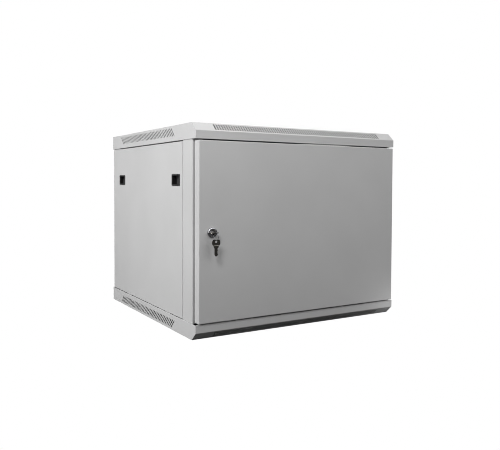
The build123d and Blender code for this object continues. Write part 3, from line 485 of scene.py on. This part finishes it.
class CABINET_OT_stage(bpy.types.Operator):
    """Floor, white surround, soft boxes and the camera"""
    bl_idname = "cabinet.stage"
    bl_label = "Stage"
    # What mirrors see is white round lamp_side and fades to mirror_dark at a right angle to it.
    lamp_side = (-0.6, -0.2, 0.77)
    mirror_dark = "#505050"
    floor_grey = "#404040"
    floor_size = 30.0
    floor_drop = 0.5 * MM
    middle = (-0.1, -0.2, 0.25)

    def execute(self, context):
        studio = context.scene.cabinet_studio
        self.floor()
        self.room(context)
        soft_box("key_soft_box", (-0.9, -1.0, 1.0), self.middle, 0.4, studio.key)
        soft_box("rear_soft_box", (-1.5, 0.6, 1.2), self.middle, 0.6, studio.rear)
        soft_box("left_soft_box", (-1.8, -0.1, 0.3), self.middle, 0.8, studio.left)
        soft_box("top_soft_box", (0.0, 0.0, 1.9), self.middle, 1.2, studio.top)
        soft_box("front_soft_box", (0.6, -1.6, 1.3), self.middle, 1.8, studio.fill)
        soft_box("back_soft_box", (1.1, 1.3, 0.9), (0.0, 0.0, 0.25), 1.0, studio.back)
        soft_box("low_soft_box", (0.31, -0.4, 0.006), (0.3, -0.3, 0.008), 0.02, studio.low)
        self.camera(context, studio)
        context.scene.view_settings.view_transform = "Standard"
        # The vent slots are two to three pixels apart, and the photograph is sharp there.
        context.scene.cycles.filter_width = 1.0
        return {"FINISHED"}

    def floor(self):
        """A floor that is white paper to the camera and darker to the light that it sends back."""
        bpy.ops.mesh.primitive_plane_add(size=self.floor_size, location=(0, 0, -self.floor_drop))
        floor = bpy.context.object
        floor.name = "studio_floor"
        bpy.ops.object.transform_apply(location=True, rotation=False, scale=False)
        material = bpy.data.materials.new("studio_paper")
        material.use_nodes = True
        tree = material.node_tree
        tree.nodes.clear()
        camera, mirror = self.rays(tree)
        colour = self.white_for(tree, camera, linear(self.mirror_dark))
        white = add_node(tree, "ShaderNodeEmission", {"Color": colour, "Strength": 1.0})
        paper = add_node(tree, "ShaderNodeBsdfDiffuse", {"Color": linear(self.floor_grey)})
        mix = add_node(tree, "ShaderNodeMixShader", {0: mirror, 1: paper.outputs["BSDF"],
                                                     2: white.outputs["Emission"]})
        add_node(tree, "ShaderNodeOutputMaterial", {"Surface": mix.outputs["Shader"]})
        floor.data.materials.append(material)

    def room(self, context):
        """A white surround for the camera. Mirrors see it too, fading to grey away from the main lamps."""
        world = bpy.data.worlds.new("studio_room")
        world.use_nodes = True
        tree = world.node_tree
        tree.nodes.clear()
        camera, mirror = self.rays(tree)
        way = add_node(tree, "ShaderNodeTexCoord").outputs["Generated"]
        towards = add_node(tree, "ShaderNodeVectorMath", {0: way, 1: self.lamp_side},
                           operation="DOT_PRODUCT")
        fade = add_node(tree, "ShaderNodeValToRGB", {"Fac": towards.outputs["Value"]})
        ramp_stops(fade, [(0.0, self.mirror_dark), (0.45, "#FFFFFF")])
        colour = self.white_for(tree, camera, fade.outputs["Color"])
        white = add_node(tree, "ShaderNodeBackground", {"Color": colour, "Strength": mirror})
        add_node(tree, "ShaderNodeOutputWorld", {"Surface": white.outputs["Background"]})
        context.scene.world = world

    def white_for(self, tree, rays, other):
        """White for some rays and another colour for the rest."""
        # A colour mix has its factor at socket 0, its colours at 6 and 7, and its result at output 2.
        mix = add_node(tree, "ShaderNodeMix", {0: rays, 6: other, 7: linear("#FFFFFF")}, data_type="RGBA")
        return mix.outputs[2]

    def rays(self, tree):
        """Camera rays, and camera, glossy and transmission rays together. Light on a surface is neither."""
        path = add_node(tree, "ShaderNodeLightPath")
        mirror = add_node(tree, "ShaderNodeMath", {0: path.outputs["Is Camera Ray"],
                                                   1: path.outputs["Is Glossy Ray"]}, operation="MAXIMUM")
        glass = add_node(tree, "ShaderNodeMath", {0: mirror.outputs["Value"],
                                                  1: path.outputs["Is Transmission Ray"]},
                         operation="MAXIMUM")
        return path.outputs["Is Camera Ray"], glass.outputs["Value"]

    def camera(self, context, studio):
        bpy.ops.object.camera_add(location=studio.eye)
        camera = context.object
        camera.name = "studio_camera"
        ahead = Vector((sin(studio.yaw) * cos(studio.pitch), cos(studio.yaw) * cos(studio.pitch),
                        sin(studio.pitch)))
        right = Vector((cos(studio.yaw), -sin(studio.yaw), 0.0))
        up = right.cross(ahead)
        level = Matrix((right, up, -ahead)).transposed()
        camera.rotation_mode = "QUATERNION"
        camera.rotation_quaternion = (level @ Matrix.Rotation(-studio.roll, 3, "Z")).to_quaternion()
        camera.data.sensor_width = SENSOR_WIDTH
        camera.data.lens = studio.lens
        camera.data.shift_x = studio.shift_x
        camera.data.shift_y = studio.shift_y
        context.scene.camera = camera


class CABINET_OT_sheet_metal(bpy.types.Operator):
    """Covers, posts, panels, door, rails and bars, with the round folds that a press brake leaves"""
    bl_idname = "cabinet.sheet_metal"
    bl_label = "Sheet metal"
    shortest = 12 * MM

    def execute(self, context):
        look = context.scene.cabinet_look
        for slot in ("grey_powder_coat", "galvanised_steel"):
            for node in list(NODES):
                if slot_of(node) == slot:
                    softened(node, look.fold_round, look.edge_round, self.shortest)
        return {"FINISHED"}


class CABINET_OT_latches(bpy.types.Operator):
    """Moulded latch housings and thumb pieces, with the small rounds of the mould, and the wire springs"""
    bl_idname = "cabinet.latches"
    bl_label = "Latches"
    wire = 0.35 * MM
    turns = 6

    def execute(self, context):
        for node in list(NODES):
            if node.startswith(("latch_housings", "latch_slide")):
                softened(node, 0.35 * MM, 0.2 * MM, 1.5 * MM)
            if node.startswith("latch_spring"):
                self.spring(node)
        return {"FINISHED"}

    def spring(self, node):
        low, high = corners(node)
        length = high.z - low.z
        radius = (high.x - low.x) / 2 - self.wire
        spring = coil(node + "_wire", radius, self.wire, length, self.turns)
        spring.data.transform(foot_of(low, high))
        fit(spring, node)
        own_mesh(spring)


def coil(name, radius, wire, length, turns):
    """A coil spring that stands on the origin, of round wire with its ends cut square."""
    bpy.ops.mesh.primitive_circle_add(vertices=10, radius=wire, rotation=(pi / 2, 0, 0))
    spring = bpy.context.object
    bpy.ops.object.transform_apply(rotation=True)
    begin(spring, "VERT")
    bpy.ops.mesh.select_all(action="SELECT")
    bpy.ops.transform.translate(value=(radius, 0, wire))
    bpy.ops.object.mode_set(mode="OBJECT")
    bpy.ops.object.modifier_add(type="SCREW")
    screw = spring.modifiers[-1]
    screw.axis = "Z"
    screw.angle = 2 * pi
    screw.screw_offset = (length - 2 * wire) / turns
    screw.iterations = turns
    screw.steps = 28
    screw.render_steps = 28
    bpy.ops.object.modifier_apply(modifier=screw.name)
    begin(spring, "VERT")
    bpy.ops.mesh.select_all(action="SELECT")
    bpy.ops.mesh.remove_doubles(threshold=MERGE)
    bpy.ops.mesh.select_all(action="DESELECT")
    bpy.ops.mesh.select_mode(type="VERT")
    bpy.ops.mesh.select_non_manifold()
    bpy.ops.mesh.fill_holes(sides=0)
    bpy.ops.mesh.select_all(action="SELECT")
    bpy.ops.mesh.normals_make_consistent(inside=False)
    return settle(spring, name, 50.0)


class CABINET_OT_lock(bpy.types.Operator):
    """Lock body with a rounded collar and a threaded barrel, its plug, nut and cam"""
    bl_idname = "cabinet.lock"
    bl_label = "Lock"
    collar_round = 2.6 * MM
    barrel_radius = 9.5 * MM
    plug_running = 0.05 * MM
    thread_pitch = 1.0 * MM
    thread_depth = 0.35 * MM
    face_rim = 2.6 * MM
    dish_depth = 0.9 * MM
    dish_taper = 0.93
    dish_round = 0.25 * MM
    plug_round = 0.5 * MM
    keyway_width = 6.8 * MM
    keyway_height = 2.1 * MM
    keyway_clear = 0.3 * MM

    def execute(self, context):
        low, high = corners("lock_body")
        self.x, self.z = (low.x + high.x) / 2, (low.z + high.z) / 2
        self.face, self.rear = low.y, high.y
        self.door_face = corners("door")[0].y
        self.collar_radius = (high.x - low.x) / 2
        plug_low, plug_high = corners("lock_plug")
        self.plug_radius = (plug_high.x - plug_low.x) / 2
        self.body()
        self.plug(plug_low.y, plug_high.y)
        nut = hex_nut(corners("lock_nut"), Y, self.barrel_radius + 0.1 * MM)
        fit(settle(nut, "lock_ring_nut"), "lock_nut")
        softened("lock_cam", 0.3 * MM, 0.3 * MM, 0.5 * MM)
        return {"FINISHED"}

    def rod(self, radius, front, rear, vertices=72):
        """A rod along the lock's axis from front to rear."""
        bpy.ops.mesh.primitive_cylinder_add(vertices=vertices, radius=radius, depth=rear - front,
                                            location=(self.x, (front + rear) / 2, self.z),
                                            rotation=(pi / 2, 0, 0))
        bpy.ops.object.transform_apply()
        return bpy.context.object

    def body(self):
        axis = (self.x, self.face, self.z)
        body = self.rod(self.collar_radius, self.face, self.door_face)
        begin(body)
        pick(body, "faces", lambda face: face.normal.y > 0.9)
        bpy.ops.mesh.inset(thickness=self.collar_radius - self.barrel_radius)
        turns = int((self.rear - self.door_face) / self.thread_pitch)
        step = (self.rear - self.door_face) / turns / 4
        root = 1 - self.thread_depth / self.barrel_radius
        for _ in range(turns):
            extrude((0, step, 0))
            extrude((0, step, 0), (root, 1, root), axis)
            extrude((0, step, 0))
            extrude((0, step, 0), (1 / root, 1, 1 / root), axis)
        # The face is dished from the rim to the plug's hole, so that the rim stands up as a bead.
        pick(body, "faces", lambda face: face.normal.y < -0.9)
        bpy.ops.mesh.inset(thickness=self.collar_radius - self.plug_radius - self.face_rim)
        extrude((0, self.dish_depth, 0), (self.dish_taper, 1, self.dish_taper), axis)
        bpy.ops.object.mode_set(mode="OBJECT")
        cut(body, self.rod(self.plug_radius + self.plug_running, self.face - 1 * MM, self.rear + 1 * MM))
        begin(body, "EDGE")

        def ends(edge):
            """How far each end of an edge is behind the face, and how far off the axis."""
            out = [vert.co - Vector(axis) for vert in edge.verts]
            return [(p.y, hypot(p.x, p.z)) for p in out]

        def rim(edge):
            return all(abs(behind) < LEVEL and off > self.collar_radius - 0.1 * MM
                       for behind, off in ends(edge))

        def inner(edge):
            return edge.calc_face_angle(0) > radians(25) and all(
                -0.1 * MM < behind < 1.2 * MM and off < self.collar_radius - 2 * MM
                for behind, off in ends(edge))

        pick(body, "edges", rim)
        bpy.ops.mesh.bevel(offset=self.collar_round, segments=7, clamp_overlap=True)
        pick(body, "edges", inner)
        bpy.ops.mesh.bevel(offset=self.dish_round, segments=2, clamp_overlap=True)
        fit(settle(body, "lock_collar_and_barrel"), "lock_body")

    def plug(self, front, rear):
        plug = self.rod(self.plug_radius, front, rear, 48)
        begin(plug)
        pick(plug, "edges", lambda edge: all(vert.co.y < front + LEVEL for vert in edge.verts))
        bpy.ops.mesh.bevel(offset=self.plug_round, segments=3)
        bpy.ops.object.mode_set(mode="OBJECT")
        tip = corners("key_in_lock")[1].y
        bpy.ops.mesh.primitive_cube_add(size=1, location=(self.x, (front + tip) / 2, self.z),
                                        scale=(self.keyway_width, tip - front + self.keyway_clear,
                                               self.keyway_height))
        bpy.ops.object.transform_apply()
        cut(plug, bpy.context.object)
        fit(settle(plug, "lock_plug_with_keyway"), "lock_plug")


def hex_nut(box, axis, bore):
    """A hexagon nut with turned corners, in the box of its CAD solid, bored along an axis."""
    low, high = box
    size = high - low
    thickness = size[axis]
    flats = min(size[i] for i in range(3) if i != axis)
    bpy.ops.mesh.primitive_cylinder_add(vertices=6, radius=flats / sqrt(3), depth=thickness)
    nut = bpy.context.object
    # A turned blank a little narrower than the corners, chamfered at both ends, takes the corners off.
    bpy.ops.mesh.primitive_cylinder_add(vertices=60, radius=flats / sqrt(3) * 0.99, depth=thickness)
    blank = bpy.context.object
    begin(blank)
    pick(blank, "edges", lambda edge: abs(edge.verts[0].co.z - edge.verts[1].co.z) < LEVEL)
    bpy.ops.mesh.bevel(offset=flats * 0.07, segments=1)
    bpy.ops.object.mode_set(mode="OBJECT")
    cut(nut, blank, "INTERSECT")
    bpy.ops.mesh.primitive_cylinder_add(vertices=32, radius=bore, depth=thickness * 2)
    cut(nut, bpy.context.object)
    way = Vector([1.0 if i == axis else 0.0 for i in range(3)])
    nut.data.transform(turned(way, (low + high) / 2))
    return nut


class CABINET_OT_keys(bpy.types.Operator):
    """The key in the lock, its spare and the split ring between them"""
    bl_idname = "cabinet.keys"
    bl_label = "Keys"
    hole_radius = 2.8 * MM
    hole_inset = 4.6 * MM
    bow_length = 14.0 * MM
    bow_corner = 5.0 * MM
    shoulder_length = 4.7 * MM
    shoulder_width = 10.4 * MM
    stop_width = 8.4 * MM
    blade_width = 6.5 * MM
    tip_length = 3.0 * MM
    tip_width = 2.2 * MM
    bead = 0.35 * MM
    bow_rim = 1.3 * MM
    bow_press = 0.25 * MM
    shoulder_step = 0.1 * MM
    edge_round = 0.16 * MM
    groove_width = 1.5 * MM
    groove_depth = 0.45 * MM
    groove_offset = -0.9 * MM
    first_tooth = 2.6 * MM
    tooth_pitch = 3.3 * MM
    tooth_depths = (1.4, 0.7, 1.8, 1.1)

    def execute(self, context):
        low, high = corners("spare_key")
        self.width, self.thickness, self.length = high.x - low.x, high.y - low.y, high.z - low.z
        spare = self.blank()
        spare.data.transform(Matrix.Translation(((low.x + high.x) / 2, (low.y + high.y) / 2, high.z)))
        fit(settle(spare, "spare_key_cut"), "spare_key")
        low, high = corners("key_in_lock")
        turned_key = self.blank()
        place = Matrix.Translation(((low.x + high.x) / 2, low.y, (low.z + high.z) / 2))
        turned_key.data.transform(place @ Matrix.Rotation(pi / 2, 4, "X"))
        fit(settle(turned_key, "key_in_lock_cut"), "key_in_lock")
        self.ring()
        return {"FINISHED"}

    def blank(self):
        """A key that hangs down from the origin, its bow pressed with a raised rim."""
        bpy.ops.mesh.primitive_cube_add(size=1, location=(0, 0, -self.bow_length / 2),
                                        scale=(self.width, self.thickness, self.bow_length))
        key = bpy.context.object
        bpy.ops.object.transform_apply()
        begin(key)
        pick(key, "edges", lambda edge: abs(edge.verts[0].co.y - edge.verts[1].co.y) > 0.1 * MM)
        bpy.ops.mesh.bevel(offset=self.bow_corner, segments=6)
        pick(key, "faces", lambda face: abs(face.normal.y) > 0.9)
        bpy.ops.mesh.inset(thickness=self.bow_rim, depth=-self.bow_press)
        low = -self.bow_length
        pick(key, "faces",
             lambda face: face.normal.z < -0.9 and face.calc_center_median().z < low + 0.1 * MM)
        flat = self.width - 2 * self.bow_corner
        extrude((0, 0, -self.shoulder_step), (self.shoulder_width / flat, 1, 1), (0, 0, low))
        extrude((0, 0, self.shoulder_step - self.shoulder_length),
                (self.stop_width / self.shoulder_width, 1, 1), (0, 0, low))
        bpy.ops.mesh.inset(thickness=MERGE)
        bpy.ops.transform.resize(value=(self.blade_width / self.stop_width, 1, 1),
                                 center_override=(0, 0, low))
        blade = self.length - self.bow_length - self.shoulder_length - self.tip_length
        extrude((0, 0, -blade))
        extrude((0, 0, -self.tip_length), (self.tip_width / self.blade_width, 1, 1), (0, 0, low))
        bpy.ops.object.mode_set(mode="OBJECT")
        bpy.ops.mesh.primitive_cylinder_add(vertices=40, radius=self.hole_radius, depth=6 * MM,
                                            location=(0, 0, -self.hole_inset), rotation=(pi / 2, 0, 0))
        cut(key, bpy.context.object)
        bpy.ops.mesh.primitive_cylinder_add(vertices=24, radius=self.thickness / 2 + self.bead,
                                            depth=self.shoulder_width, location=(0, 0, low),
                                            rotation=(0, pi / 2, 0))
        cut(key, bpy.context.object, "UNION")
        self.groove(key, low)
        self.teeth(key, low)
        begin(key)
        pick(key, "edges", lambda edge: edge.calc_face_angle(0) > radians(60) and edge.is_convex
             and edge.calc_length() > 0.4 * MM)
        bpy.ops.mesh.bevel(offset=self.edge_round, segments=2, clamp_overlap=True)
        bpy.ops.object.mode_set(mode="OBJECT")
        return key

    def groove(self, key, low):
        """The milled way along both sides of the blade."""
        start = low - self.shoulder_length - 0.5 * MM
        for side in (1, -1):
            bpy.ops.mesh.primitive_cube_add(size=1, location=(self.groove_offset, side * self.thickness / 2,
                                                              (start - self.length) / 2),
                                            scale=(self.groove_width, 2 * self.groove_depth,
                                                   start + self.length + 1 * MM))
            bpy.ops.object.transform_apply()
            cut(key, bpy.context.object)

    def teeth(self, key, low):
        """Cuts of the usual uneven depths along one edge of the blade."""
        first = low - self.shoulder_length - self.first_tooth
        for i, depth in enumerate(self.tooth_depths):
            # A square bar turned on its edge cuts half its diagonal deep, so a side is 1.42 depths.
            side = depth * 1.42 * MM
            bpy.ops.mesh.primitive_cube_add(size=1, scale=(side, 4 * MM, side),
                                            location=(self.blade_width / 2, 0, first - i * self.tooth_pitch),
                                            rotation=(0, pi / 4, 0))
            bpy.ops.object.transform_apply()
            cut(key, bpy.context.object)

    def ring(self):
        low, high = corners("key_ring")
        wire = (high.x - low.x) / 4
        radius = (high.z - low.z) / 2 - 2 * wire
        ring = coil("split_key_ring", radius, wire, 6 * wire, 2)
        ring.data.transform(Matrix.Translation((0, 0, -3 * wire)))
        ring.data.transform(turned((1, 0, 0), (low + high) / 2))
        fit(ring, "key_ring")


class CABINET_OT_fasteners(bpy.types.Operator):
    """Socket head screws, hexagon nuts and the two threaded earth studs"""
    bl_idname = "cabinet.fasteners"
    bl_label = "Fasteners"
    # Each screw node with its axis, shank radius, head radius, head height and socket.
    screws = {
        "bar_screws": (Y, 3.0, 5.5, 3.2, 4.0),
        "rail_screws": (X, 3.0, 5.5, 3.2, 4.0),
        "frame_screws_bottom": (Z, 3.0, 5.5, 3.2, 4.0),
        "frame_screws_top": (Z, 3.0, 5.5, 3.2, 4.0),
        "back_screws": (Y, 3.0, 5.0, 1.1, 4.0),
        "plate_screws_bottom": (Z, 2.0, 3.8, 2.0, 2.5),
        "plate_screws_top": (Z, 2.0, 3.8, 2.0, 2.5),
        "cam_screw": (Y, 2.0, 3.8, 2.6, 2.5),
    }
    # Each nut node with its axis and bore.
    nuts = {"rail_nuts": (X, 3.05), "earth_nut_frame": (Z, 3.05), "earth_nut_door": (Y, 3.05)}
    studs = {"earth_stud_frame": Z, "earth_stud_door": Y}
    thread_pitch = 1.0 * MM
    # The rest are shares of a radius or of the head's height.
    root = 0.86
    stud_end = 0.85
    screw_end = 0.78
    end_chamfer = 0.25
    head_round = 0.3
    socket_depth = 0.65

    def execute(self, context):
        for node, (axis, radius, head_radius, head_height, socket) in self.screws.items():
            self.screw_set(node, axis, radius * MM, head_radius * MM, head_height * MM, socket * MM)
        for node, (axis, bore) in self.nuts.items():
            solids = solids_of(node)
            nut = hex_nut(box_of(solids[0]), axis, bore * MM)
            first = middle_of(solids[0])
            places = [Matrix.Translation(middle_of(points) - first) for points in solids]
            fit(settle(set_out(nut, places, node), node + "_turned"), node)
        for node, axis in self.studs.items():
            self.stud(node, axis)
        return {"FINISHED"}

    def screw_set(self, node, axis, radius, head_radius, head_height, socket):
        solids = solids_of(node)
        low, high = box_of(solids[0])
        length = high[axis] - low[axis] - head_height
        model = self.screw(radius, head_radius, head_height, length, socket)
        places = []
        for points in solids:
            middle = middle_of(points)
            others = [i for i in range(3) if i != axis]
            wide = [p[axis] for p in points
                    if sqrt(sum((p[i] - middle[i]) ** 2 for i in others)) > 0.9 * head_radius]
            side = 1 if sum(wide) / len(wide) > middle[axis] else -1
            end = (max if side > 0 else min)(p[axis] for p in points)
            way = Vector([side if i == axis else 0.0 for i in range(3)])
            seat = middle.copy()
            seat[axis] = end - side * head_height
            places.append(turned(way, seat))
        fit(settle(set_out(model, places, node), node + "_turned"), node)

    def screw(self, radius, head_radius, head_height, length, socket):
        """A screw with its head's seat on the origin and its head up, with a hexagon socket."""
        bpy.ops.mesh.primitive_cylinder_add(vertices=28, radius=head_radius, depth=head_height,
                                            location=(0, 0, head_height / 2))
        screw = bpy.context.object
        bpy.ops.object.transform_apply()
        begin(screw)
        pick(screw, "faces", lambda face: face.normal.z < -0.9)
        bpy.ops.mesh.inset(thickness=head_radius - radius)
        extrude((0, 0, self.end_chamfer * radius - length))
        extrude((0, 0, -self.end_chamfer * radius), (self.screw_end, self.screw_end, 1.0))
        pick(screw, "edges", lambda edge: all(vert.co.z > head_height - LEVEL for vert in edge.verts))
        bpy.ops.mesh.bevel(offset=head_height * self.head_round, segments=3)
        bpy.ops.object.mode_set(mode="OBJECT")
        bpy.ops.mesh.primitive_cylinder_add(vertices=6, radius=socket / sqrt(3),
                                            depth=2 * self.socket_depth * head_height,
                                            location=(0, 0, head_height))
        cut(screw, bpy.context.object)
        return screw

    def stud(self, node, axis):
        """A threaded stud: rings of thread, each a crest and a root, under a chamfered end."""
        low, high = corners(node)
        way = Vector([1.0 if i == axis else 0.0 for i in range(3)])
        radius = max(high[i] - low[i] for i in range(3) if i != axis) / 2
        length = high[axis] - low[axis]
        turns = int(length / self.thread_pitch) - 1
        bpy.ops.mesh.primitive_circle_add(vertices=20, radius=radius * self.root, fill_type="NGON")
        stud = bpy.context.object
        begin(stud)
        bpy.ops.mesh.select_all(action="SELECT")
        rise = self.thread_pitch / 2
        for _ in range(turns):
            extrude((0, 0, rise), (1 / self.root, 1 / self.root, 1))
            extrude((0, 0, rise), (self.root, self.root, 1))
        extrude((0, 0, length - turns * self.thread_pitch), (self.stud_end, self.stud_end, 1))
        bpy.ops.mesh.select_all(action="SELECT")
        bpy.ops.mesh.normals_make_consistent(inside=False)
        bpy.ops.object.mode_set(mode="OBJECT")
        foot = (low + high) / 2
        foot[axis] = low[axis]
        stud.data.transform(turned(way, foot))
        fit(settle(stud, node + "_threaded", 25.0), node)


class CABINET_OT_hinges(bpy.types.Operator):
    """Hinge pins, nylon bushes, the pin's spring and the door's rubber buffers"""
    bl_idname = "cabinet.hinges"
    bl_label = "Hinges"
    spring_wire = 0.5 * MM
    spring_turns = 8
    dimple_rim = 0.62
    dimple_depth = 0.4 * MM
    dimple_taper = 0.8
    shoulder_round = 0.7 * MM

    def execute(self, context):
        softened("hinge_bushes", 0.25 * MM, 0.2 * MM, 0.5 * MM)
        softened("hinge_pin_upper", 0.25 * MM, 0.25 * MM, 0.3 * MM)
        softened("hinge_pin_lower", 0.25 * MM, 0.25 * MM, 0.3 * MM)
        self.spring()
        self.buffers()
        softened("back_entry_trim", 0.6 * MM, 0.4 * MM, 3 * MM)
        return {"FINISHED"}

    def spring(self):
        low, high = corners("hinge_spring")
        length = high.z - low.z
        spring = coil("hinge_pin_spring", (high.x - low.x) / 2 - self.spring_wire, self.spring_wire, length,
                      self.spring_turns)
        spring.data.transform(foot_of(low, high))
        fit(spring, "hinge_spring")
        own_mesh(spring)

    def buffers(self):
        """Round rubber buffers with a domed shoulder and a moulding dimple."""
        solids = solids_of("door_buffers")
        first = middle_of(solids[0])
        low, high = box_of(solids[0])
        height, radius = high.y - low.y, (high.x - low.x) / 2
        bpy.ops.mesh.primitive_cylinder_add(vertices=40, radius=radius, depth=height, location=first,
                                            rotation=(pi / 2, 0, 0))
        buffer = bpy.context.object
        bpy.ops.object.transform_apply()
        begin(buffer)
        pick(buffer, "faces", lambda face: face.normal.y < -0.9)
        bpy.ops.mesh.inset(thickness=radius * self.dimple_rim)
        extrude((0, self.dimple_depth, 0), (self.dimple_taper, 1, self.dimple_taper), first)
        pick(buffer, "edges", lambda edge: all(vert.co.y < low.y + LEVEL for vert in edge.verts))
        bpy.ops.mesh.bevel(offset=self.shoulder_round, segments=4, clamp_overlap=True)
        bpy.ops.object.mode_set(mode="OBJECT")
        places = [Matrix.Translation(middle_of(points) - first) for points in solids]
        fit(settle(set_out(buffer, places, "buffers"), "door_buffers_moulded"), "door_buffers")


class CABINET_OT_finishes(bpy.types.Operator):
    """Puts each CAD node's finish on it"""
    bl_idname = "cabinet.finishes"
    bl_label = "Finishes"

    def execute(self, context):
        make_materials(context.scene.cabinet_look)
        for node in NODES:
            dress(node)
        return {"FINISHED"}


class CABINET_PT_panel(bpy.types.Panel):
    """The steps in the order that main calls them"""
    bl_label = "Network Cabinet"
    bl_idname = "CABINET_PT_panel"
    bl_space_type = "VIEW_3D"
    bl_region_type = "UI"
    bl_category = "Cabinet"

    def draw(self, context):
        for operator in OPERATORS:
            self.layout.operator(operator.bl_idname)


OPERATORS = (CABINET_OT_finishes, CABINET_OT_sheet_metal, CABINET_OT_latches, CABINET_OT_lock,
             CABINET_OT_keys, CABINET_OT_hinges, CABINET_OT_fasteners, CABINET_OT_stage)
CLASSES = (CabinetLook, CabinetStudio, *OPERATORS, CABINET_PT_panel)


def register():
    for kind in CLASSES:
        bpy.utils.register_class(kind)
    bpy.types.Scene.cabinet_look = PointerProperty(type=CabinetLook)
    bpy.types.Scene.cabinet_studio = PointerProperty(type=CabinetStudio)


def unregister():
    del bpy.types.Scene.cabinet_studio
    del bpy.types.Scene.cabinet_look
    for kind in reversed(CLASSES):
        bpy.utils.unregister_class(kind)


def main():
    register()
    bpy.ops.object.select_all(action="DESELECT")
    for operator in OPERATORS:
        area, name = operator.bl_idname.split(".")
        getattr(getattr(bpy.ops, area), name)()


if __name__ == "__main__":
    main()
